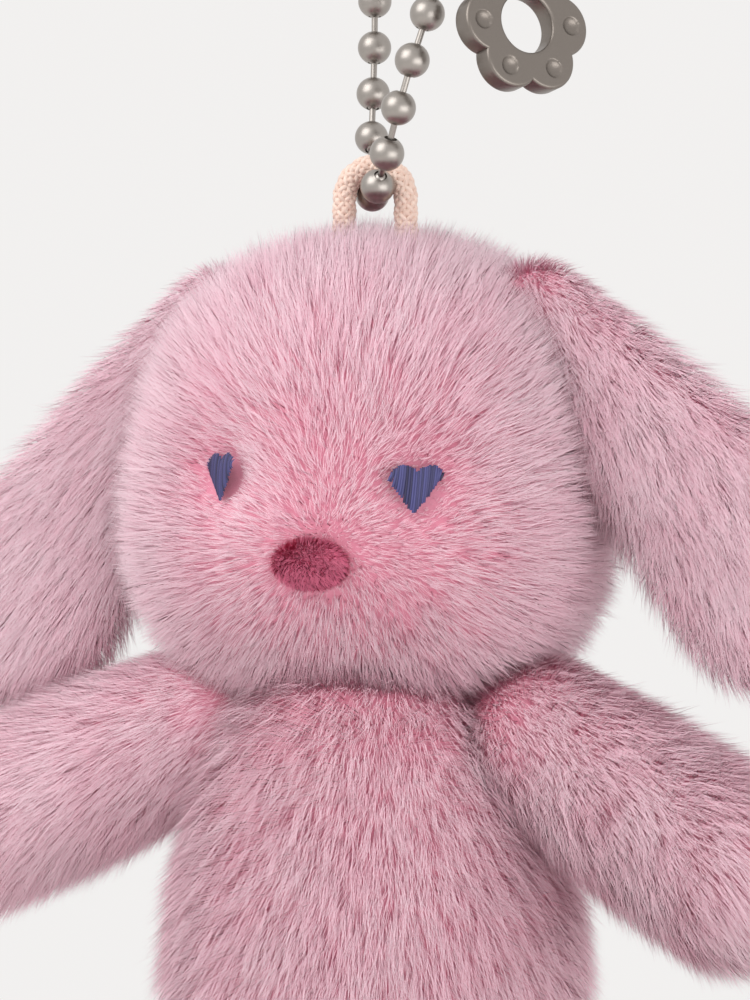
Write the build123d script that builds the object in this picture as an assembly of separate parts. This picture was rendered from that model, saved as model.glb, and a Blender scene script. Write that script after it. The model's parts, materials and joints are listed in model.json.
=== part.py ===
from build123d import *
import os
from math import cos, sin, tan, radians, sqrt

# A plush rabbit on a loop of ball chain, with a metal flower charm.
# Millimetres, +Z up, the rabbit faces -Y. The origin is where the loop of chain hangs:
# the inside of its topmost turn.
os.makedirs("parts", exist_ok=True)

# ball chain
BEAD_RADIUS = 2.25
BEAD_WALL = 0.3
BEAD_HOLE = 0.85
PITCH = 6.28
ROD_RADIUS = 0.42
HEAD_RADIUS = 0.95
HEAD_INSET = 0.95  # from the centre of the bead that a rod swings in to the rod's head
FRONT_BEADS = 13  # from the lowest rod up to the connector
REAR_BEADS = 8
CHAIN_TURN = 20.0  # the loop lies along this heading, seen from above
CONNECTOR_RADIUS = 2.95
CONNECTOR_WALL = 0.4
CONNECTOR_SLOT = 3.8
CONNECTOR_MOUTH = 1.75

# the loop's centre line from the lowest rod: across, forward, up
LOOP_POINTS = [
    (0.0, 0.0, -0.1),
    (1.5, 7.6, 4.0),
    (3.2, 10.4, 10.5),
    (7.1, 10.6, 23.0),
    (11.5, 9.4, 38.0),
    (11.4, 4.5, 48.3),
    (6.5, -2.2, 52.0),
    (1.6, -9.6, 47.6),
    (0.1, -13.9, 37.0),
    (0.0, -14.3, 20.0),
    (-0.4, -11.6, 7.3),
    (-0.4, -7.2, 1.9),
]
TOP_POINT = 6

# hanging loop of braided cord: across and up from the lowest rod, by hand
CORD_RADIUS = 1.4
CORD_ROUTE = [
    (-4.6, -20.0),
    (-4.6, -14.5),
    (-4.5, -9.2),
    (-4.25, -4.0),
    (-4.3, 0.7),
    (-1.75, 3.15),
    (1.75, 3.15),
    (4.3, 0.7),
    (4.25, -4.0),
    (4.5, -9.2),
    (4.6, -14.5),
    (4.6, -20.0),
]
RUN_SHARE = 0.45
KNOT_RADIUS = 6.4
KNOT_HEIGHT = 6.0

# rabbit: places are from the top of the head's pile, below the lowest rod
HEAD_DROP = 3.9
HEAD_PLACE = (0.0, 4.0)
HEAD_OUTLINE = [(24.0, 0.0), (34.5, -37.0), (21.0, -62.5)]  # corners: radius, height
HEAD_ROUND = 20.0
PLUSH = 6.0  # backing and pile together
SOFT_GAP = 0.35
EYE_WIDTH = 7.4
EYE_DOWN = {1: 34.0, -1: 32.4}  # the left one, and the right one
EYE_HEADING = {1: 27.7, -1: 28.4}
EYE_REACH = 32.4  # from the head's upright axis to the tips of the pile there
NOSE_SIZE = (10.0, 6.4)
NOSE_DOWN = 44.5
NOSE_REACH = 31.6
STITCH_THICKNESS = 0.9
STITCH_DEPTH = 4.4  # the embroidery lies this deep in the pile

TORSO_PLACE = (0.0, 0.0)
TORSO_OUTLINE = [(24.0, -65.5), (29.5, -98.0), (25.0, -122.0)]
TORSO_ROUND = 14.0
NECK_PLACE = (0.0, 0.0, -66.0)
NECK_RADIUS = 13.0
NECK_SWING = 7.0

# each limb: pivot, direction, root radius, end radius, length from pivot to the end's centre
LIMBS = {
    "left_arm": ((23.5, -3.0, -66.5), (0.84, -0.20, -0.50), 11.0, 11.6, 31.0),
    "right_arm": ((-23.0, -2.0, -65.5), (-0.91, -0.08, -0.41), 11.0, 12.2, 34.0),
    "left_leg": ((15.0, -8.0, -111.0), (0.42, -0.52, -0.74), 12.0, 13.0, 22.0),
    "right_leg": ((-15.0, -8.0, -111.0), (-0.42, -0.52, -0.74), 12.0, 13.0, 22.0),
}
LIMB_SWING = 8.0
SHOULDER_ROOM = 1.95  # the head's pile is pressed in above each arm's root
EAR_PIVOT = (26.0, 0.0, -12.0)
EAR_SLOPES = {1: 48.0, -1: 54.0}  # below level, on the left and the right
EAR_ROOT = 9.0
EAR_END = 14.5
EAR_LENGTH = 40.0
EAR_THICKNESS = 12.0
EAR_ROUND = 5.4
EAR_PLUSH = 4.0
EAR_SWING = 8.0
TAIL_RADIUS = 10.0
TAIL_PLACE = (0.0, 29.0, -102.0)

# charm
CHARM_CENTRE = (18.7, 12.4, 20.2)  # across, forward, up from the lowest rod
CHARM_TURN = 32.0  # its face is turned this much from the loop's heading
CHARM_TILT = 10.0
PETAL_RADIUS = 4.0
PETAL_CIRCLE = 5.2
CHARM_HOLE = 3.85
CHARM_THICKNESS = 3.0
EYELET_RADIUS = 2.5
EYELET_HOLE = 1.5
EYELET_UP = 9.0
RING_WIRE = 0.5
RING_RADIUS = 6.4
RING_LINK = 6  # it rings the front strand at this link


def placed(across, forward, up):
    """A point of the chain's own frame: across the heading, along it, and up."""
    turn = radians(CHAIN_TURN)
    top = LOOP_POINTS[TOP_POINT]
    a, f = across - top[0], forward - top[1]
    x = a * cos(turn) + f * sin(turn)
    y = a * sin(turn) - f * cos(turn)
    return Vector(x, y, up - top[2] + BEAD_RADIUS)


def on_rabbit(x, y, z):
    """A point of the rabbit, from the top of its head below the lowest rod."""
    return ROD_CENTRE + Vector(x, y, z - HEAD_DROP)


def save(name, *solids):
    shape = solids[0] if len(solids) == 1 else Compound(children=list(solids))
    shape.label = name
    export_step(shape, f"parts/{name}.step")


def ball(radius, centre):
    return Pos(centre) * Sphere(radius)


def bar(radius, start, end):
    """A round bar from one point to another."""
    way = end - start
    plane = Plane(origin=start, z_dir=way)
    return plane * Cylinder(radius, way.length, align=(Align.CENTER, Align.CENTER, Align.MIN))


def single(shape):
    return max(shape.solids(), key=lambda s: s.volume)


# ---- ball chain ----

def chain_points():
    """Bead centres up each side from the lowest rod, one pitch apart along the loop."""
    points = [placed(*p) for p in LOOP_POINTS]
    line = Edge.make_spline(points, periodic=True)

    def at(share):
        return line.position_at(share % 1.0)

    def step(share, sign, distance):
        low, high = 0.0, 2 * distance / line.length
        start = at(share)
        for _ in range(40):
            middle = (low + high) / 2
            if (at(share + sign * middle) - start).length < distance:
                low = middle
            else:
                high = middle
        return share + sign * low

    sides = []
    for sign, beads in ((1, FRONT_BEADS), (-1, REAR_BEADS)):
        share = step(0.0, sign, PITCH / 2)
        side = [at(share)]
        for _ in range(beads - 1):
            share = step(share, sign, PITCH)
            side.append(at(share))
        sides.append(side)
    return sides


def bead(centre, ways):
    """A hollow bead with a hole towards each rod that enters it."""
    shape = Sphere(BEAD_RADIUS) - Sphere(BEAD_RADIUS - BEAD_WALL)
    for way in ways:
        shape -= bar(BEAD_HOLE, Vector(0, 0, 0), way.normalized() * (BEAD_RADIUS + 1))
    return Pos(centre) * single(shape)


def rod(own, other, seated=False):
    """A rod whose head seats in its own bead's hole, and whose far head swings in the next bead
    unless it is seated there too."""
    rim = sqrt((BEAD_RADIUS - BEAD_WALL) ** 2 - BEAD_HOLE**2)
    near = rim - sqrt(HEAD_RADIUS**2 - BEAD_HOLE**2)
    far = (other - own).length - (near if seated else HEAD_INSET)
    shape = Pos(0, 0, near) * Cylinder(ROD_RADIUS, far - near, align=(Align.CENTER, Align.CENTER, Align.MIN))
    shape += Pos(0, 0, near) * Sphere(HEAD_RADIUS) + Pos(0, 0, far) * Sphere(HEAD_RADIUS)
    return Plane(origin=own, z_dir=other - own) * single(shape)


def connector(first, second):
    """A sleeve over the two end beads, open along one side so that they snap in."""
    way = (second - first).normalized()
    half = (second - first).length / 2 + BEAD_RADIUS + 0.9
    middle = (first + second) / 2
    plane = Plane(origin=middle, x_dir=Vector(0, 0, 1), z_dir=way)
    shape = Cylinder(CONNECTOR_RADIUS, 2 * half)
    shape -= Cylinder(CONNECTOR_RADIUS - CONNECTOR_WALL, 2 * (half - 0.5))
    shape -= Cylinder(CONNECTOR_MOUTH, 3 * half)
    slot = Box(2 * CONNECTOR_RADIUS, CONNECTOR_SLOT, 2 * (half - 1.6))
    shape -= Pos(CONNECTOR_RADIUS, 0, 0) * slot
    return plane * single(shape)


def make_chain(front, rear):
    around = list(reversed(rear)) + front
    count = len(around)
    print("connector gap", round((around[0] - around[-1]).length, 3))
    names = [f"rear_link_{n}" for n in range(REAR_BEADS, 0, -1)]
    names += [f"front_link_{n}" for n in range(1, FRONT_BEADS + 1)]
    for n, name in enumerate(names):
        here = around[n]
        ways = [around[k] - here for k in (n - 1, n + 1) if 0 <= k < count]
        solids = [bead(here, ways)]
        down = n + 1 if n < REAR_BEADS else n - 1
        if name != "front_link_1":
            solids.append(rod(here, around[down], seated=name == "front_link_2"))
        save(name, *solids)
        print(name, [round(v, 3) for v in here])
    save("connector", connector(around[-1], around[0]))


FRONT, REAR = chain_points()
ROD_CENTRE = (FRONT[0] + REAR[0]) / 2


# ---- charm ----

def make_charm(front):
    """Six round petals about a round hole, with an eyelet above, on a ring round the chain."""
    heading, tilt = radians(CHAIN_TURN + CHARM_TURN), radians(CHARM_TILT)
    face = Vector(sin(heading) * cos(tilt), -cos(heading) * cos(tilt), sin(tilt))
    sideways = Vector(cos(heading), sin(heading), 0)
    plane = Plane(origin=placed(*CHARM_CENTRE), x_dir=sideways, z_dir=face)
    outline = Circle(PETAL_CIRCLE)
    for place in PolarLocations(PETAL_CIRCLE, 6):
        outline += place * Circle(PETAL_RADIUS)
    outline += Pos(0, EYELET_UP) * Circle(EYELET_RADIUS)
    outline -= Circle(CHARM_HOLE)
    shape = extrude(outline, CHARM_THICKNESS / 2, both=True)
    shape -= Pos(0, EYELET_UP) * Cylinder(EYELET_HOLE, 2 * CHARM_THICKNESS)
    save("flower_charm", plane * single(shape))
    eyelet = plane.from_local_coords(Vector(0, EYELET_UP, 0))
    strand = front[RING_LINK]
    away = (strand - eyelet).normalized()
    centre = eyelet + away * RING_RADIUS
    normal = away.cross(face).normalized()
    save("jump_ring", Plane(origin=centre, x_dir=away, z_dir=normal) * Torus(RING_RADIUS, RING_WIRE))
    for name, value in (("eyelet", eyelet), ("normal", face), ("strand", strand), ("ring", normal)):
        print(name, [round(v, 4) for v in value])


# ---- rabbit ----

def turned_body(place, corners, rounding, inset):
    """A soft round body turned about an upright axis: a rounded outline drawn in by the inset."""
    mirrored = [(-r, z) for r, z in reversed(corners)]
    outline = make_face(Polyline(*corners, *mirrored, close=True))
    outline = fillet(outline.vertices(), rounding)
    if inset:
        outline = offset(outline, -inset)
    box = outline.bounding_box()
    half = Pos(box.max.X, (box.min.Y + box.max.Y) / 2) * Rectangle(2 * box.max.X, 2 * box.size.Y)
    return Pos(on_rabbit(*place, 0)) * single(revolve(Plane.XZ * (outline & half), Axis.Z))


def head_body(inset):
    return turned_body(HEAD_PLACE, HEAD_OUTLINE, HEAD_ROUND, inset)


def torso_body(inset):
    body = turned_body(TORSO_PLACE, TORSO_OUTLINE, TORSO_ROUND, inset)
    return single(body + ball(NECK_RADIUS - inset, on_rabbit(*NECK_PLACE)))


def along(pivot, direction):
    return Plane(origin=on_rabbit(*pivot), z_dir=Vector(*direction))


def limb_body(pivot, direction, root, end, length, inset):
    """A round root on its pivot, widening to a round paw."""
    root, end = root - inset, end - inset
    lean = (end - root) / length
    rise = sqrt(1 - lean**2)
    profile = [
        ThreePointArc((0, -root), (root * sqrt(0.5), -root * sqrt(0.5)), (root * rise, -root * lean)),
        Line((root * rise, -root * lean), (end * rise, length - end * lean)),
        ThreePointArc(
            (end * rise, length - end * lean),
            (end * sqrt(0.5), length + end * sqrt(0.5)),
            (0, length + end),
        ),
        Line((0, length + end), (0, -root)),
    ]
    shape = revolve(Plane.XZ * make_face(profile), Axis.Z)
    return along(pivot, direction) * single(shape)


def without(shape, cuts):
    for cut in cuts:
        shape = single(shape - cut)
    return shape


def swing_room(pivot, direction, root, end, length, swing):
    """The space a limb needs at its root: its own round end, and a cone as wide as it swings."""
    radius = root + SOFT_GAP
    slope = sin(radians(swing)) + (end - root) / length
    back = radius * sin(radians(swing))
    cone = Pos(0, 0, -back) * Cone(
        radius, radius + (2 * length + back) * slope, 2 * length + back,
        align=(Align.CENTER, Align.CENTER, Align.MIN),
    )
    return [along(pivot, direction) * shape for shape in (Sphere(radius), cone)]


def ear_outline(grow, inset=0.0):
    """Two circles and the straight sides that touch both."""
    root, end = EAR_ROOT + grow - inset, EAR_END + grow - inset
    lean = (end - root) / EAR_LENGTH
    rise = sqrt(1 - lean**2)
    sides = Polyline(
        (-root * lean, root * rise),
        (EAR_LENGTH - end * lean, end * rise),
        (EAR_LENGTH - end * lean, -end * rise),
        (-root * lean, -root * rise),
        close=True,
    )
    return Circle(root) + Pos(EAR_LENGTH, 0) * Circle(end) + make_face(sides)


def ear_plane(sign, extra=0.0):
    slope = radians(EAR_SLOPES[sign] + extra)
    x, y, z = EAR_PIVOT
    way = Vector(sign * cos(slope), 0, -sin(slope))
    return Plane(origin=on_rabbit(sign * x, y, z), x_dir=way, z_dir=Vector(0, -1, 0))


def ear_body(sign, inset):
    shape = extrude(ear_outline(0, inset), EAR_THICKNESS / 2 - inset, both=True)
    edges = shape.faces().sort_by(Axis.Z)[0].edges() + shape.faces().sort_by(Axis.Z)[-1].edges()
    return ear_plane(sign) * single(fillet(edges, EAR_ROUND - inset))


def ear_room(sign):
    thick = EAR_THICKNESS / 2 + SOFT_GAP
    room = extrude(ear_outline(SOFT_GAP), thick, both=True)
    return [ear_plane(sign, swing) * room for swing in (0, -EAR_SWING, EAR_SWING)]


def cord_line():
    """Straight runs of the route joined by tangent arcs as large as the runs allow."""
    points = [Vector(ROD_CENTRE.X + x, ROD_CENTRE.Y, ROD_CENTRE.Z + z) for x, z in CORD_ROUTE]
    edges, last = [], points[0]
    for before, here, after in zip(points, points[1:], points[2:]):
        arrive, leave = here - before, after - here
        turn = radians(arrive.get_angle(leave))
        back = RUN_SHARE * min(arrive.length, leave.length)
        start, end = here - arrive.normalized() * back, here + leave.normalized() * back
        print("cord radius", round(back / tan(turn / 2), 1))
        edges += [Line(last, start), TangentArc(start, end, tangent=arrive)]
        last = end
    return Wire(edges + [Line(last, points[-1])])


def cord_body(radius=CORD_RADIUS):
    line = cord_line()
    plane = Plane(origin=line @ 0, z_dir=line % 0)
    print("cord length", round(line.length, 1))
    return single(sweep(plane * Circle(radius), path=line))


def heart():
    """A heart of round lobes over a point."""
    lobe = EYE_WIDTH * 0.27
    apart = EYE_WIDTH / 2 - lobe
    shape = Pos(apart, 0) * Circle(lobe) + Pos(-apart, 0) * Circle(lobe)
    corner = (apart + lobe * 0.78, -lobe * 0.62)
    point = (0, -EYE_WIDTH * 0.56)
    fill = make_face(Polyline((0, lobe * 0.45), corner, point, (-corner[0], corner[1]), close=True))
    return shape + fill


def face_plane(height, heading, reach):
    """A plane on the face, its z outward along the heading; the reach is from the head's axis."""
    turn = radians(heading)
    out = Vector(sin(turn), -cos(turn), 0)
    side = Vector(cos(turn), sin(turn), 0)
    middle = on_rabbit(*HEAD_PLACE, height)
    return Plane(origin=middle + out * reach, x_dir=side, z_dir=out)


def make_rabbit():
    cord = cord_body()
    knot_top = ROD_CENTRE + Vector(0, 0, CORD_ROUTE[0][1])
    knot = bar(KNOT_RADIUS, knot_top - Vector(0, 0, KNOT_HEIGHT), knot_top)
    knot = fillet(knot.edges().filter_by(GeomType.CIRCLE), KNOT_HEIGHT / 5)
    save("hanging_loop", cord)
    save("loop_knot", knot)

    torso, torso_inner = torso_body(0), torso_body(PLUSH)
    neck = (NECK_PLACE, (0, 0, -1), NECK_RADIUS, NECK_RADIUS, 30.0, NECK_SWING)
    rooms = [cut for limb in LIMBS.values() for cut in swing_room(*limb, LIMB_SWING)]
    tail = ball(TAIL_RADIUS, on_rabbit(*TAIL_PLACE)) - torso
    save("torso_cover", without(torso - torso_inner, rooms))
    save("torso_stuffing", without(torso_inner, rooms))
    save("tail_pompom", single(tail))
    for name, limb in LIMBS.items():
        inner = limb_body(*limb, PLUSH)
        save(f"{name}_cover", single(limb_body(*limb, 0) - inner))
        save(f"{name}_stuffing", inner)

    head, head_inner = head_body(0), head_body(PLUSH)
    holes = [*ear_room(1), *ear_room(-1), *swing_room(*neck), cord + knot]
    for name in ("left_arm", "right_arm"):
        pivot, _, root, _, _ = LIMBS[name]
        holes.append(ball(root + SHOULDER_ROOM, on_rabbit(*pivot)))
    save("head_stuffing", without(head_inner, holes))
    nose = Ellipse(NOSE_SIZE[0] / 2, NOSE_SIZE[1] / 2)
    patches = {"nose": (face_plane(-NOSE_DOWN, 0, NOSE_REACH - STITCH_DEPTH), nose)}
    for sign, side in ((1, "left"), (-1, "right")):
        plane = face_plane(-EYE_DOWN[sign], sign * EYE_HEADING[sign], EYE_REACH - STITCH_DEPTH)
        patches[f"{side}_eye"] = (plane, heart())
    for name, (plane, outline) in patches.items():
        save(name, plane * single(extrude(outline, -STITCH_THICKNESS)))
        pocket = Pos(0, 0, -STITCH_THICKNESS) * extrude(outline, STITCH_THICKNESS + 3 * STITCH_DEPTH)
        holes.append(plane * pocket)
    save("head_cover", without(head - head_inner, holes))
    for sign, side in ((1, "left"), (-1, "right")):
        inner = ear_body(sign, EAR_PLUSH)
        save(f"{side}_ear_cover", single(ear_body(sign, 0) - inner))
        save(f"{side}_ear_padding", inner)


make_chain(FRONT, REAR)
make_charm(FRONT)
make_rabbit()
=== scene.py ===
import json
import math

import bmesh
import bpy
import numpy as np
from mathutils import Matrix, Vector


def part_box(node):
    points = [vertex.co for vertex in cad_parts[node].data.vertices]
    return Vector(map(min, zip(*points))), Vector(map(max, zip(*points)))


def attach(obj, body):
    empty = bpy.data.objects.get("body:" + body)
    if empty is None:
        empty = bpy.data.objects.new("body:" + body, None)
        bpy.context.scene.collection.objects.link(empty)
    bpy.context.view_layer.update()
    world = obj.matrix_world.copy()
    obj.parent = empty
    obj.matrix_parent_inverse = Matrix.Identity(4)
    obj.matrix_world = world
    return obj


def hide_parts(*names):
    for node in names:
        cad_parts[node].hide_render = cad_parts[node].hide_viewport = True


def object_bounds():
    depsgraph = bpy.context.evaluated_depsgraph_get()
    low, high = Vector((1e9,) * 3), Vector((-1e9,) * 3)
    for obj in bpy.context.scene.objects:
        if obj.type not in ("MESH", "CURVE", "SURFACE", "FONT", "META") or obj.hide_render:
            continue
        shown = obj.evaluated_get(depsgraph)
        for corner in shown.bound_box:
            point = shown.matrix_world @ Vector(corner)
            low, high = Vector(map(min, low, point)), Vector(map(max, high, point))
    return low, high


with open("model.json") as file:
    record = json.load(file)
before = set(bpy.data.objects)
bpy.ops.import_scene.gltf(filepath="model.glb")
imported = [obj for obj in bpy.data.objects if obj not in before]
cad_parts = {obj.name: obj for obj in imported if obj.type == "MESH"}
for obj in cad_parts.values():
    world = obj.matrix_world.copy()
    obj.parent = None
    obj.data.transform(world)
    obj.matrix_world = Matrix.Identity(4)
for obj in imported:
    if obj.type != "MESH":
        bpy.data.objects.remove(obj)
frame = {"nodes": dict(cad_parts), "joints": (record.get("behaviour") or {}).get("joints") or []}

CAD_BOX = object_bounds()
MM = 0.001

# ---- places, from the frame ----

JOINTS = {joint["name"]: joint for joint in frame["joints"]}


def low_high(node):
    low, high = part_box(node)
    return np.array(low), np.array(high)


def middle(node):
    low, high = low_high(node)
    return (low + high) / 2


def pivot(joint):
    return np.array(JOINTS[joint]["pos_m"])


HEAD_LOW, HEAD_HIGH = low_high("head_cover")
HEAD_MIDDLE = (HEAD_LOW + HEAD_HIGH) / 2
ROD = pivot("rabbit_swing")
TURN = math.radians(20.0)  # the chain's loop and the camera share this heading
TOWARD = np.array([math.sin(TURN), -math.cos(TURN), 0.0])
ACROSS = np.array([math.cos(TURN), math.sin(TURN), 0.0])
UP = np.array([0.0, 0.0, 1.0])

# ---- camera ----

DISTANCE = 0.49
SEEN_HEIGHT = 0.1305  # of the object, at the chain
AIM = ROD - UP * 0.0404


def make_camera():
    data = bpy.data.cameras.new("camera")
    data.sensor_fit = "VERTICAL"
    data.sensor_height = 24.0
    data.lens = 24.0 * DISTANCE / SEEN_HEIGHT
    data.clip_start = 0.01
    camera = bpy.data.objects.new("camera", data)
    bpy.context.scene.collection.objects.link(camera)
    place = Vector(AIM + TOWARD * DISTANCE)
    camera.location = place
    camera.rotation_euler = (Vector(AIM) - place).to_track_quat("-Z", "Y").to_euler()
    bpy.context.scene.camera = camera


make_camera()

# ---- materials ----


def material(name, color=(0.5, 0.5, 0.5), roughness=0.5, metallic=0.0):
    made = bpy.data.materials.new(name)
    made.use_nodes = True
    shader = made.node_tree.nodes["Principled BSDF"]
    shader.inputs["Base Color"].default_value = (*color, 1.0)
    shader.inputs["Roughness"].default_value = roughness
    shader.inputs["Metallic"].default_value = metallic
    return made, made.node_tree, shader


def ramp(tree, source, stops):
    node = tree.nodes.new("ShaderNodeValToRGB")
    node.color_ramp.elements[0].position = stops[0][0]
    node.color_ramp.elements[0].color = (*stops[0][1], 1.0)
    node.color_ramp.elements[1].position = stops[-1][0]
    node.color_ramp.elements[1].color = (*stops[-1][1], 1.0)
    for place, color in stops[1:-1]:
        node.color_ramp.elements.new(place).color = (*color, 1.0)
    tree.links.new(source, node.inputs["Fac"])
    return node.outputs["Color"]


def noise(tree, scale, detail=3.0):
    node = tree.nodes.new("ShaderNodeTexNoise")
    node.inputs["Scale"].default_value = scale
    node.inputs["Detail"].default_value = detail
    return node.outputs["Fac"]


def bump(tree, shader, height, strength, distance):
    node = tree.nodes.new("ShaderNodeBump")
    node.inputs["Strength"].default_value = strength
    node.inputs["Distance"].default_value = distance
    tree.links.new(height, node.inputs["Height"])
    tree.links.new(node.outputs["Normal"], shader.inputs["Normal"])


def fur_material():
    made, tree, shader = material("plush_pile", roughness=0.8)
    tone = tree.nodes.new("ShaderNodeAttribute")
    tone.attribute_name = "tone"
    stops = [
        (0.0, (0.86, 0.26, 0.42)),
        (0.35, (0.94, 0.47, 0.60)),
        (0.7, (0.97, 0.66, 0.75)),
        (1.0, (0.98, 0.80, 0.86)),
    ]
    color = ramp(tree, tone.outputs["Fac"], stops)
    tree.links.new(color, shader.inputs["Base Color"])
    shader.inputs["Specular IOR Level"].default_value = 0.25
    shader.inputs["Sheen Weight"].default_value = 0.25
    shader.inputs["Sheen Roughness"].default_value = 0.5
    shader.inputs["Sheen Tint"].default_value = (1.0, 0.8, 0.87, 1.0)
    return made


def backing_material():
    made, tree, shader = material("plush_backing", roughness=0.9)
    color = ramp(tree, noise(tree, 900.0), [(0.3, (0.76, 0.26, 0.37)), (0.7, (0.86, 0.36, 0.47))])
    tree.links.new(color, shader.inputs["Base Color"])
    return made


def thread_material(name, dark, light, sheen):
    made, tree, shader = material(name, roughness=0.45)
    tone = tree.nodes.new("ShaderNodeAttribute")
    tone.attribute_name = "tone"
    color = ramp(tree, tone.outputs["Fac"], [(0.0, dark), (1.0, light)])
    tree.links.new(color, shader.inputs["Base Color"])
    shader.inputs["Sheen Weight"].default_value = sheen
    return made


def metal_material(name, dark, light, roughness, grain):
    made, tree, shader = material(name, metallic=1.0, roughness=roughness)
    color = ramp(tree, noise(tree, grain), [(0.35, dark), (0.7, light)])
    tree.links.new(color, shader.inputs["Base Color"])
    bump(tree, shader, noise(tree, grain * 6.0, 2.0), 0.25, 0.00002)
    return made


FUR = fur_material()
BACKING = backing_material()
INDIGO = thread_material("indigo_thread", (0.012, 0.010, 0.042), (0.070, 0.070, 0.22), 0.02)
ROSE = thread_material("rose_thread", (0.66, 0.06, 0.17), (0.93, 0.23, 0.38), 0.0)
PEACH = thread_material("peach_cord", (0.66, 0.42, 0.33), (0.90, 0.70, 0.60), 0.3)
CHAIN_METAL = metal_material("chain_metal", (0.33, 0.30, 0.275), (0.45, 0.42, 0.39), 0.34, 700.0)
CHARM_METAL = metal_material("charm_metal", (0.205, 0.178, 0.158), (0.285, 0.255, 0.23), 0.36, 500.0)

# ---- mesh making ----


def add_mesh(name, points, faces, materials, smooth=True):
    mesh = bpy.data.meshes.new(name)
    mesh.from_pydata([tuple(p) for p in points], [], [tuple(f) for f in faces])
    mesh.update()
    if smooth:
        mesh.polygons.foreach_set("use_smooth", [True] * len(mesh.polygons))
    made = bpy.data.objects.new(name, mesh)
    bpy.context.scene.collection.objects.link(made)
    for one in materials:
        mesh.materials.append(one)
    return made


def unit(rows):
    return rows / np.maximum(np.linalg.norm(rows, axis=-1, keepdims=True), 1e-12)


def grid_faces(rings, around, base=0):
    """Quads over rings of points, each ring closed."""
    faces = []
    for i in range(rings - 1):
        for j in range(around):
            k = (j + 1) % around
            faces.append((base + i * around + j, base + i * around + k,
                          base + (i + 1) * around + k, base + (i + 1) * around + j))
    return faces


class Skin:
    """A closed skin of rings from one pole to the other, with smooth normals."""

    def __init__(self, rings):
        self.rings = rings
        count, around = rings.shape[:2]
        self.points = rings.reshape(-1, 3)
        faces = np.array(grid_faces(count, around))
        self.faces = faces
        a, b, c, d = (self.points[faces[:, k]] for k in range(4))
        cross = np.cross(c - a, d - b)
        normals = np.zeros_like(self.points)
        for k in range(4):
            np.add.at(normals, faces[:, k], cross)
        self.normals = unit(normals)
        centre = self.points.mean(0)
        if ((self.points - centre) * self.normals).sum() < 0:
            self.normals = -self.normals
            self.faces = faces[:, ::-1]
        self.areas = np.linalg.norm(cross, axis=1) / 2

    def sample(self, random, count):
        pick = random.choice(len(self.faces), count, p=self.areas / self.areas.sum())
        u, v = random.random((2, count, 1))
        a, b, c, d = (self.faces[pick, k] for k in range(4))
        mix = [(1 - u) * (1 - v), u * (1 - v), u * v, (1 - u) * v]
        places = sum(w * self.points[k] for w, k in zip(mix, (a, b, c, d)))
        normals = unit(sum(w * self.normals[k] for w, k in zip(mix, (a, b, c, d))))
        return places, normals


def ring_angles(around):
    return np.linspace(0, 2 * math.pi, around, endpoint=False)


def soft_noise(places, size, seed):
    """A smooth field of vectors, made of a few waves in random directions."""
    random = np.random.default_rng(seed)
    total = np.zeros((len(places), 3))
    for octave in range(6):
        wave = random.normal(size=(3,)) / size * (0.6 + 0.25 * octave)
        phase = random.random(3) * 2 * math.pi
        amount = random.normal(size=3)
        total += amount * np.sin((places @ wave)[:, None] * 2 * math.pi + phase)
    return total / 3.0


QUICK = 1.0


def grow(skin, count, seed, length, groom, lean=0.75, width=0.085 * MM, clump=0.13):
    """Pile on a skin: flat tapering fibres that lean along the groom and gather in soft clumps."""
    random = np.random.default_rng(seed)
    count = int(count * QUICK)
    roots, normals = skin.sample(random, count)
    size = length(roots) * random.normal(1.0, 0.10, count).clip(0.6, 1.25)
    keep = size > 0.4 * MM
    roots, normals, size = roots[keep], normals[keep], size[keep]
    count = len(roots)
    flow = groom(roots, normals)
    flow = flow - (flow * normals).sum(1, keepdims=True) * normals
    strength = np.linalg.norm(flow, axis=1, keepdims=True).clip(0, 1)
    flow = unit(flow) * strength
    tuft = soft_noise(roots, 5.5 * MM, seed + 1) * clump + soft_noise(roots, 2.2 * MM, seed + 2) * clump * 0.9
    wild = random.normal(size=(count, 3)) * 0.10
    start = unit(normals * 1.0 + flow * lean * 0.55 + tuft * 0.5 + wild)
    later = unit(normals * 0.62 + flow * lean * 1.25 + tuft + wild * 1.3)
    step = size[:, None]
    first = roots + start * step * 0.45
    tip = first + later * step * 0.55
    along = [start, unit(start + later), later]
    levels = [roots, first, tip]
    twist = unit(random.normal(size=(count, 3)))
    points, shades = [], []
    fibre = random.random(count)
    for level, share in enumerate((1.0, 0.8)):
        side = unit(np.cross(along[level], normals + twist * 0.45)) * (width * share / 2)
        points += [levels[level] - side, levels[level] + side]
    points.append(tip)
    stack = np.stack(points, axis=1).reshape(-1, 3)
    patch = soft_noise(roots, 14 * MM, 977)[:, 0] * 0.05
    for share in (0.22, 0.22, 0.60, 0.60, 0.92):
        shades.append(share + (fibre - 0.5) * 0.16 + patch)
    shades = np.stack(shades, axis=1).reshape(-1).clip(0, 1)
    base = np.arange(count)[:, None] * 5
    triangles = np.concatenate([base + [0, 1, 3], base + [0, 3, 2], base + [2, 3, 4]], axis=1).reshape(-1, 3)
    facing = unit(normals + flow * 0.15)
    shading = np.repeat(facing[:, None, :], 5, axis=1).reshape(-1, 3)
    return stack, triangles, shades, shading


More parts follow.
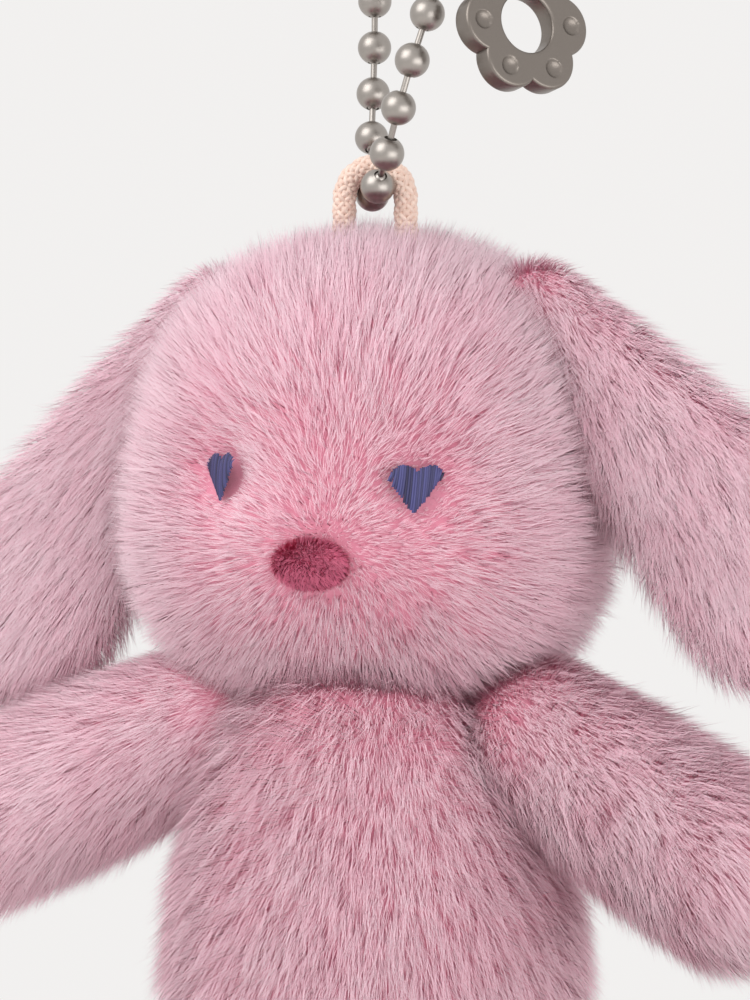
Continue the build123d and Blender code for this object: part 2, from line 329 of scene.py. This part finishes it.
def plush(name, body, skin, nodes, fibres, seed, length, groom, slot="plush", looks=(FUR, BACKING), **more):
    """One padded piece: a closed skin with its pile."""
    stack, triangles, shades, shading = grow(skin, fibres, seed, length, groom, **more)
    inner = len(skin.points)
    mesh = bpy.data.meshes.new(name)
    quads = skin.faces
    corners = np.concatenate([quads.reshape(-1), (triangles + inner).reshape(-1)])
    sizes = np.concatenate([np.full(len(quads), 4), np.full(len(triangles), 3)])
    starts = np.concatenate([[0], np.cumsum(sizes)[:-1]])
    points = np.concatenate([skin.points, stack])
    mesh.vertices.add(len(points))
    mesh.vertices.foreach_set("co", points.astype(np.float32).ravel())
    mesh.loops.add(len(corners))
    mesh.loops.foreach_set("vertex_index", corners.astype(np.int32))
    mesh.polygons.add(len(sizes))
    mesh.polygons.foreach_set("loop_start", starts.astype(np.int32))
    which = np.r_[np.ones(len(quads)), np.zeros(len(triangles))]
    mesh.polygons.foreach_set("material_index", which.astype(np.int32))
    mesh.polygons.foreach_set("use_smooth", np.ones(len(sizes), dtype=bool))
    mesh.update(calc_edges=True)
    tone = mesh.attributes.new("tone", "FLOAT", "POINT")
    tone.data.foreach_set("value", np.concatenate([np.zeros(inner), shades]).astype(np.float32))
    every = np.concatenate([skin.normals, shading])
    mesh.normals_split_custom_set_from_vertices(every.tolist())
    for look in looks:
        mesh.materials.append(look)
    made = bpy.data.objects.new(name, mesh)
    bpy.context.scene.collection.objects.link(made)
    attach(made, body)
    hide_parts(*nodes)
    return made


# ---- hanging loop ----

CORD_DIAMETER = 2.8 * MM
CORD_ROUTE = [
    (-4.6, -20.0),
    (-4.6, -14.5),
    (-4.5, -9.2),
    (-4.25, -4.0),
    (-4.3, 0.7),
    (-1.75, 3.15),
    (1.75, 3.15),
    (4.3, 0.7),
    (4.25, -4.0),
    (4.5, -9.2),
    (4.6, -14.5),
    (4.6, -20.0),
]


def cord_line():
    """Points along a smooth line through the loop's route."""
    curve = bpy.data.curves.new("route", "CURVE")
    curve.dimensions = "3D"
    spline = curve.splines.new("NURBS")
    spline.points.add(len(CORD_ROUTE) - 1)
    for point, (x, z) in zip(spline.points, CORD_ROUTE):
        place = ROD + np.array([x, 0.0, z]) * MM
        point.co = (*place, 1.0)
    spline.order_u = 3
    spline.use_endpoint_u = True
    spline.resolution_u = 24
    holder = bpy.data.objects.new("route", curve)
    mesh = bpy.data.meshes.new_from_object(holder)
    points = np.array([v.co[:] for v in mesh.vertices])
    bpy.data.objects.remove(holder)
    bpy.data.meshes.remove(mesh)
    return points


def even(points, count):
    gaps = np.linalg.norm(np.diff(points, axis=0), axis=1)
    place = np.concatenate([[0], np.cumsum(gaps)])
    want = np.linspace(0, place[-1], count)
    return np.stack([np.interp(want, place, points[:, k]) for k in range(3)], axis=1), place[-1]


def tube(line, radius, around):
    """A tube along a line of points, with a steady frame, as rings."""
    ways = unit(np.gradient(line, axis=0))
    side = unit(np.cross(ways[0], [0.0, 1.0, 0.0]))
    rings = []
    turn = ring_angles(around)
    for place, way in zip(line, ways):
        side = unit(side - way * (side @ way))
        other = np.cross(way, side)
        rings.append(place + radius * (np.cos(turn)[:, None] * side + np.sin(turn)[:, None] * other))
    return np.array(rings)


PLY_SIDES = 7


def make_cord():
    """A braid: two sets of plies wound opposite ways, each rising over the other in turn, with painted shade where
    a ply passes under.
    """
    line, total = even(cord_line(), 340)
    ways = unit(np.gradient(line, axis=0))
    side = unit(np.cross(ways[0], [0.0, 1.0, 0.0]))
    sides, others = [], []
    for way in ways:
        side = unit(side - way * (side @ way))
        sides.append(side)
        others.append(np.cross(way, side))
    sides, others = np.array(sides), np.array(others)
    share = np.linspace(0, total, len(line))
    points, faces, tones = [], [], []
    plies, pitch, ply = 8, 9.0 * MM, 0.36 * MM
    random = np.random.default_rng(5)
    for hand in (1, -1):
        for n in range(plies):
            angle = hand * 2 * math.pi * share / pitch + 2 * math.pi * n / plies
            wave = np.cos(plies * 2 * math.pi * share / pitch + math.pi * n)
            radius = CORD_DIAMETER / 2 - ply * 0.62 + hand * wave * ply * 0.30
            outward = np.cos(angle)[:, None] * sides + np.sin(angle)[:, None] * others
            rings = tube(line + radius[:, None] * outward, ply, PLY_SIDES)
            base = sum(len(p) for p in points)
            points.append(rings.reshape(-1, 3))
            faces += grid_faces(len(rings), PLY_SIDES, base)
            # painted shade: where a ply passes under the other set, its tone is lowered by 0.15
            passing_under_shade = (hand * wave < -0.4).repeat(PLY_SIDES)
            tones.append(np.full(len(rings) * PLY_SIDES, random.uniform(0.55, 1.0)) - 0.15 * passing_under_shade)
    core = tube(line, CORD_DIAMETER / 2 - ply * 0.9, 12)
    base = sum(len(p) for p in points)
    points.append(core.reshape(-1, 3))
    faces += grid_faces(len(core), 12, base)
    tones.append(np.zeros(core.shape[0] * 12))
    made = add_mesh("hanging_loop_braid", np.concatenate(points), faces, [PEACH])
    tone = made.data.attributes.new("tone", "FLOAT", "POINT")
    tone.data.foreach_set("value", np.concatenate(tones).clip(0, 1).astype(np.float32))
    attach(made, "head")
    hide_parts("hanging_loop")


make_cord()

# ---- rabbit ----

PILE = 6.3 * MM
HEAD_SKIN = np.array([26.6, 24.5, 27.6]) * MM
HEAD_CENTRE = HEAD_MIDDLE + np.array([-1.0, -1.0, -1.3]) * MM
EYE_MIDDLES = {side: middle(f"{side}_eye") for side in ("left", "right")}
NOSE_MIDDLE = middle("nose")


def bumped(directions, toward, spread, height):
    """A round swelling on a unit sphere of directions, about one of them."""
    angle = np.arccos((directions @ unit(toward)).clip(-1, 1))
    return height * np.exp(-((angle / spread) ** 2))


def head_point(directions):
    """The head's skin along each direction: a rounded box with cheeks, eye hollows and a muzzle."""
    power = 2.75
    reach = 1.0 / (np.abs(directions) ** power).sum(1) ** (1 / power)
    x, y, z = directions.T
    cheeks = sum(bumped(directions, np.array([s * 0.80, -0.36, -0.46]), 0.60, 0.075) for s in (-1, 1))
    eye_ways = [(EYE_MIDDLES[side] - HEAD_CENTRE) / HEAD_SKIN for side in EYE_MIDDLES]
    hollows = sum(bumped(directions, way, 0.22, -0.075) for way in eye_ways)
    muzzle = bumped(directions, np.array([0.0, -0.9, -0.42]), 0.42, 0.05)
    brow = bumped(directions, np.array([0.0, -0.85, 0.25]), 0.3, 0.03)
    crown = -0.10 * np.clip(z, 0, 1) * np.abs(x)
    reach = reach * (1 + cheeks + hollows + muzzle + brow + crown)
    return HEAD_CENTRE + directions * reach[:, None] * HEAD_SKIN


def sphere_directions(rings, around):
    tilt = np.linspace(0.02, math.pi - 0.02, rings)
    turn = ring_angles(around)
    t, p = np.meshgrid(tilt, turn, indexing="ij")
    return np.stack([np.sin(t) * np.cos(p), np.sin(t) * np.sin(p), np.cos(t)], axis=2)


def make_head():
    directions = sphere_directions(90, 140)
    skin = Skin(head_point(directions.reshape(-1, 3)).reshape(directions.shape))
    heart = NOSE_MIDDLE + UP * 2.0 * MM

    def groom(places, normals):
        away = places - heart
        distance = np.linalg.norm(away, axis=1, keepdims=True)
        back = np.clip((places[:, 1:2] - HEAD_CENTRE[1]) / HEAD_SKIN[1], 0, 1)
        flow = unit(away) * np.clip(distance / (6 * MM), 0.25, 1.0)
        return flow * (1 - back) + np.array([0, 0.25, -1.0]) * back

    def length(places):
        size = np.full(len(places), PILE)
        for place in EYE_MIDDLES.values():
            gap = np.linalg.norm(places - place, axis=1)
            size *= np.clip((gap - 2.7 * MM) / (4.6 * MM), 0, 1) ** 0.7
        offset = (places - NOSE_MIDDLE) / np.array([4.8, 12.0, 3.1]) / MM
        gap = np.linalg.norm(offset, axis=1)
        size *= np.clip((gap - 0.85) / 1.0, 0.0, 1.0) ** 0.6
        front = places[:, 1] < HEAD_CENTRE[1]
        near = np.clip(np.linalg.norm(places - NOSE_MIDDLE, axis=1) / (26 * MM), 0.5, 0.95)
        return np.where(front, size * near, size)

    plush("head_plush", "head", skin, ["head_cover", "head_stuffing"], 100000, 11, length, groom, lean=0.62)


def lathe(start, direction, profile, flat=None, bend=None, rings=60, around=72):
    """Rings about a line: the profile gives how far along and how wide, flat squeezes one way."""
    direction = unit(np.array(direction))
    side = unit(np.cross(direction, flat if flat is not None else [0.13, 1.0, 0.21]))
    other = np.cross(direction, side)
    turn = ring_angles(around)
    out = []
    for share in np.linspace(0.004, 0.996, rings):
        along, wide, thick = profile(share)
        centre = start + direction * along
        if bend is not None:
            centre = centre + bend(share)
        out.append(centre + side * wide * np.cos(turn)[:, None] + other * thick * np.sin(turn)[:, None])
    return Skin(np.array(out))


def capsule(root, end, length):
    """A round root about the start, widening evenly to a round end."""
    total = root + length + end

    def profile(share):
        place = total * (1 - math.cos(math.pi * share)) / 2 - root
        if place < 0:
            wide = math.sqrt(max(root * root - place * place, 0))
        elif place > length:
            wide = math.sqrt(max(end * end - (place - length) ** 2, 0))
        else:
            wide = root + (end - root) * place / length
        return place, wide, wide

    return profile


LIMB_WAYS = {
    "left_arm": (0.84, -0.20, -0.50),
    "right_arm": (-0.91, -0.08, -0.41),
    "left_leg": (0.42, -0.52, -0.74),
    "right_leg": (-0.42, -0.52, -0.74),
}
LIMB_SIZES = {  # root, end and length of the skin, under the pile
    "left_arm": (9.0, 9.0, 32.0),
    "right_arm": (9.0, 9.2, 35.0),
    "left_leg": (9.0, 9.8, 23.0),
    "right_leg": (9.0, 9.8, 23.0),
}


def from_root(start, way, reach):
    """Pile that is short where a piece is sewn on, and full length a little further out."""
    def length(places):
        along = (places - start) @ way
        return PILE * np.clip(0.55 + 0.45 * along / reach, 0.35, 1.0)

    return length


def make_limbs():
    for seed, (name, way) in enumerate(LIMB_WAYS.items()):
        start = pivot(f"{name}_bend")
        way = unit(np.array(way))
        root, end, length = (v * MM for v in LIMB_SIZES[name])
        skin = lathe(start, way, capsule(root, end, length))
        fibres = 42000 if "arm" in name else 30000
        plush(f"{name}_plush", name, skin, [f"{name}_cover", f"{name}_stuffing"], fibres, 31 + 7 * seed,
              from_root(start, way, 16 * MM),
              lambda places, normals, way=way: np.tile(way + np.array([0, 0, -0.25]), (len(places), 1)), lean=0.85)


# the torso's skin: how far below its top, and how wide there
TORSO_SKIN = [(0, 2), (1.5, 9), (5, 14.5), (11, 18.5), (20, 21.6), (32, 24.2), (43, 25.2), (52, 23.6), (59, 19),
              (63.5, 12), (65.5, 3)]
TORSO_FLATNESS = 0.92


def make_torso():
    low, high = low_high("torso_cover")
    start = np.array([(low[0] + high[0]) / 2, (low[1] + high[1]) / 2, high[2] - 3.0 * MM])
    drops, wides = np.array(TORSO_SKIN).T * MM
    curve = np.linspace(0, 1, len(drops))

    def profile(share):
        drop = np.interp(share, curve, drops)
        wide = np.interp(share, curve, wides)
        return drop, wide, wide * TORSO_FLATNESS

    skin = lathe(start, (0, 0, -1), profile, flat=(0, 1, 0), rings=70, around=96)
    plush("torso_plush", "torso", skin, ["torso_cover", "torso_stuffing"], 80000, 71,
          lambda places: np.full(len(places), PILE),
          lambda places, normals: np.tile(np.array([0, -0.05, -1.0]), (len(places), 1)), lean=0.8)


EAR_SLOPES = {"left": 48.0, "right": 54.0}


def make_ears():
    for seed, (side, sign) in enumerate((("left", 1), ("right", -1))):
        slope = math.radians(EAR_SLOPES[side])
        way = np.array([sign * math.cos(slope), 0.0, -math.sin(slope)])
        start = pivot(f"{side}_ear_flap") + np.array([-sign * 3.5, 0.0, -0.5]) * MM
        base = capsule(5.5 * MM, 11.4 * MM, 45.5 * MM)

        def profile(share):
            along, wide, _ = base(share)
            return along, wide, min(wide, 3.2 * MM)

        skin = lathe(start, way, profile, flat=(0, 1, 0), around=96)
        plush(f"{side}_ear_plush", f"{side}_ear", skin, [f"{side}_ear_cover", f"{side}_ear_padding"], 50000,
              101 + 9 * seed, from_root(start, way, 18 * MM),
              lambda places, normals, way=way: np.tile(way + np.array([0, 0, -0.2]), (len(places), 1)), lean=0.8)


def make_tail():
    centre = middle("tail_pompom")
    directions = sphere_directions(24, 36)
    skin = Skin(centre + directions * 5.0 * MM)
    plush("tail_plush", "torso", skin, ["tail_pompom"], 9000, 151,
          lambda places: np.full(len(places), 5.5 * MM),
          lambda places, normals: np.tile(np.array([0.0, 0.3, -0.4]), (len(places), 1)), slot="pompom", lean=0.4)


make_head()
make_limbs()
make_torso()
make_ears()
make_tail()

# ---- embroidery ----


def stitches(name, node, inside, side, up, out, centre, width, pitch, slant, look, seed):
    """Satin stitches: rounded threads laid side by side over an outline."""
    random = np.random.default_rng(seed)
    points, faces, tones = [], [], []
    count = int(width / pitch) + 1
    arc = np.linspace(0, math.pi, 6)
    for n in range(count):
        across = (n - (count - 1) / 2) * pitch
        spans = inside(across)
        if spans is None:
            continue
        low, high = spans
        low, high = low - random.random() * 0.35 * MM, high + random.random() * 0.25 * MM
        rows = 9
        tone = random.random()
        base = sum(len(p) for p in points)
        ring = []
        for k in range(rows):
            t = k / (rows - 1)
            rise = math.sin(math.pi * t) ** 0.5 * 0.32 * MM
            spot = centre + side * (across + slant * (t - 0.5)) + up * (low + (high - low) * t) + out * rise
            wide = side * (np.cos(arc) * pitch * 0.62)[:, None]
            tall = out * (np.sin(arc) * pitch * 0.6)[:, None]
            ring.append(spot + wide + tall)
        points.append(np.array(ring).reshape(-1, 3))
        for i in range(rows - 1):
            for j in range(5):
                near, far = base + i * 6 + j, base + (i + 1) * 6 + j
                faces.append((near, near + 1, far + 1, far))
        tones.append(np.full(rows * 6, tone))
    made = add_mesh(name, np.concatenate(points), faces, [look])
    attribute = made.data.attributes.new("tone", "FLOAT", "POINT")
    attribute.data.foreach_set("value", np.concatenate(tones).astype(np.float32))
    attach(made, "head")
    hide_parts(node)
    return made


def heart_span(width, height):
    """The lowest and highest place of a heart at each place across it."""
    half = width / 2

    def span(across):
        t = abs(across) / half
        if t >= 1:
            return None
        lobe = 0.28 * height + 0.20 * height * math.sqrt(max(0, 1 - ((t - 0.5) / 0.5) ** 2))
        return height * (0.76 * t**1.1 - 0.52), lobe

    return span


NOSE_NAP = np.array([4.5, 1.6, 2.6]) * MM
NOSE_PROUD = np.array([0.0, -1.0, 0.0]) * MM  # the nap stands this far before the nose's middle
EYE_WIDTH, EYE_HEIGHT, EYE_PROUD = 6.6 * MM, 5.7 * MM, 0.2 * MM
EYE_THREAD, EYE_SLANT = 0.28 * MM, 0.5 * MM  # how far apart the threads lie, and their lean
EYE_TURNS = {"left": 27.7, "right": -40.0}  # the head's roundness turns the right eye further away


def make_face():
    for side, sign in (("left", 1), ("right", -1)):
        turn = math.radians(EYE_TURNS[side])
        out = np.array([math.sin(turn), -math.cos(turn), 0.0])
        across = np.array([math.cos(turn), math.sin(turn), 0.0])
        stitches(f"{side}_eye_stitches", f"{side}_eye", heart_span(EYE_WIDTH, EYE_HEIGHT), across, UP, out,
                 EYE_MIDDLES[side] + out * EYE_PROUD, EYE_WIDTH, EYE_THREAD, EYE_SLANT, INDIGO,
                 3 + sign)
    skin = Skin(NOSE_MIDDLE + NOSE_PROUD + sphere_directions(20, 40) * NOSE_NAP)
    plush("nose_nap", "head", skin, ["nose"], 9000, 9, lambda places: np.full(len(places), 1.1 * MM),
          lambda places, normals: np.tile(np.array([0.5, 0.0, -0.5]), (len(places), 1)), slot="nose_thread",
          looks=(ROSE, ROSE), lean=0.6)


make_face()

# ---- metal ----


def dress_metal():
    for name in frame["nodes"]:
        cad = bpy.data.objects.get(name)
        if cad is None:
            continue
        look = None
        if "_link_" in name or name in ("connector", "jump_ring"):
            look = CHAIN_METAL
        if look is not None:
            for slot in cad.material_slots:
                slot.material = look


dress_metal()

PETALS = 6
PETAL_RADIUS = 4.0 * MM
PETAL_CIRCLE = 5.2 * MM
CHARM_HOLE = 3.85 * MM
CHARM_HALF = 1.5 * MM
CHARM_BEVEL = 0.42 * MM
EYELET_UP = 9.0 * MM
EYELET_RADIUS = 2.5 * MM
EYELET_HOLE = 1.5 * MM
DIMPLE = {"out": 6.7 * MM, "radius": 1.25 * MM, "depth": 0.5 * MM}


def charm_edge(turn):
    """The charm's outline: how far out it is in each direction, over its petals and its eyelet."""
    step = 2 * math.pi / PETALS
    a = (turn + step / 2) % step - step / 2
    edge = PETAL_CIRCLE * np.cos(a) + np.sqrt(PETAL_RADIUS**2 - (PETAL_CIRCLE * np.sin(a)) ** 2)
    b = turn - math.pi / 2
    inside = EYELET_RADIUS**2 - (EYELET_UP * np.sin(b)) ** 2
    eyelet = np.where((inside > 0) & (np.cos(b) > 0), EYELET_UP * np.cos(b) + np.sqrt(inside.clip(0)), 0)
    return np.maximum(edge, eyelet)


def charm_section(edge):
    """The charm's cross-section at one direction, with bevelled corners: out and up."""
    half, bevel = CHARM_HALF, CHARM_BEVEL
    arc = np.linspace(0, math.pi / 2, 5)
    face = np.linspace(CHARM_HOLE + bevel, edge - bevel, 26)
    outer = edge - bevel + bevel * np.sin(arc)
    inner = CHARM_HOLE + bevel - bevel * np.sin(arc)
    rise = half - bevel + bevel * np.cos(arc)
    out = np.concatenate([face[:-1], outer, outer[::-1], face[::-1][1:-1], inner, inner[::-1][:-1]])
    up = np.concatenate([np.full(25, half), rise, -rise[::-1], np.full(24, -half), -rise, rise[::-1][:-1]])
    return out, up


def make_charm():
    """The flower: round petals about a hole, bevelled all round, a plain dimple on each petal."""
    normal = unit(np.array(JOINTS["charm_swing"]["axis"]))
    across = unit(np.cross(UP, normal))
    upward = np.cross(normal, across)
    centre = pivot("charm_swing") - upward * EYELET_UP
    turns = ring_angles(540)
    rings = []
    for turn, edge in zip(turns, charm_edge(turns)):
        out, up = charm_section(edge)
        x, y = out * math.cos(turn), out * math.sin(turn)
        for n in range(PETALS):
            spot = 2 * math.pi * n / PETALS
            gap = np.hypot(x - DIMPLE["out"] * math.cos(spot), y - DIMPLE["out"] * math.sin(spot))
            dip = np.clip(1 - (gap / DIMPLE["radius"]) ** 2, 0, 1) ** 0.7 * DIMPLE["depth"]
            up = np.where(up > CHARM_HALF * 0.99, up - dip, up)
        rings.append(centre + across * x[:, None] + upward * y[:, None] + normal * up[:, None])
    rings.append(rings[0])
    rings = np.array(rings)
    count = rings.shape[1]
    faces = grid_faces(len(rings), count)
    last = (len(rings) - 1) * count
    faces = [tuple(k - last if k >= last else k for k in face) for face in faces]
    made = add_mesh("charm_flower", rings[:-1].reshape(-1, 3), faces, [CHARM_METAL])
    bore = np.array([centre + upward * EYELET_UP + normal * t for t in (-3 * MM, 0, 3 * MM)])
    drill = tube(bore, EYELET_HOLE, 64)
    caps = [tuple(range(64)), tuple(range(128, 192))]
    drill_faces = grid_faces(3, 64) + caps
    cutter = add_mesh("eyelet_drill", drill.reshape(-1, 3), drill_faces, [CHARM_METAL])
    for one in (made, cutter):
        tidy = bmesh.new()
        tidy.from_mesh(one.data)
        bmesh.ops.recalc_face_normals(tidy, faces=tidy.faces)
        tidy.to_mesh(one.data)
        tidy.free()
    cut = made.modifiers.new("eyelet", "BOOLEAN")
    cut.operation = "DIFFERENCE"
    cut.object = cutter
    cut.solver = "EXACT"
    shaped = bpy.data.meshes.new_from_object(made.evaluated_get(bpy.context.evaluated_depsgraph_get()))
    made.modifiers.clear()
    made.data = shaped
    bpy.data.objects.remove(cutter)
    shaped.set_sharp_from_angle(angle=math.radians(38))
    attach(made, "charm")
    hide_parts("flower_charm")


make_charm()

# ---- floor, backdrop and light ----


FLOOR_REACH = 0.38
FLOOR_DROP = 0.012  # the keyring hangs clear of the floor


def make_stage():
    low = CAD_BOX[0][2] - FLOOR_DROP
    turns = ring_angles(96)
    rim = [(FLOOR_REACH * math.cos(t), FLOOR_REACH * math.sin(t), low) for t in turns]
    floor = bpy.data.objects.new("floor", bpy.data.meshes.new("floor"))
    floor.data.from_pydata(rim, [], [tuple(range(len(rim)))])
    look, tree, shader = material("pale_paper", roughness=0.9)
    paper = ramp(tree, noise(tree, 120.0), [(0.3, (0.80, 0.795, 0.785)), (0.7, (0.83, 0.825, 0.815))])
    tree.links.new(paper, shader.inputs["Base Color"])
    floor.data.materials.append(look)
    bpy.context.scene.collection.objects.link(floor)


def area_light(name, place, size, power, color=(1.0, 1.0, 1.0)):
    data = bpy.data.lights.new(name, "AREA")
    data.shape = "RECTANGLE"
    data.size, data.size_y = size
    data.energy = power
    data.color = color
    light = bpy.data.objects.new(name, data)
    bpy.context.scene.collection.objects.link(light)
    light.location = place
    light.rotation_euler = (Vector(AIM) - Vector(place)).to_track_quat("-Z", "Y").to_euler()


def make_lights():
    aim = AIM
    key = aim - ACROSS * 0.55 + TOWARD * 0.45 + UP * 0.55
    fill = aim + ACROSS * 0.5 + TOWARD * 0.65 - UP * 0.32
    area_light("key_light", tuple(key), (0.7, 0.7), 4.0)
    area_light("fill_light", tuple(fill), (0.9, 0.9), 5.5)
    world = bpy.data.worlds.new("studio")
    world.use_nodes = True
    world.node_tree.nodes["Background"].inputs["Color"].default_value = (0.965, 0.95, 0.94, 1.0)
    world.node_tree.nodes["Background"].inputs["Strength"].default_value = 0.92
    bpy.context.scene.world = world
    bpy.context.scene.view_settings.view_transform = "Standard"


make_stage()
make_lights()
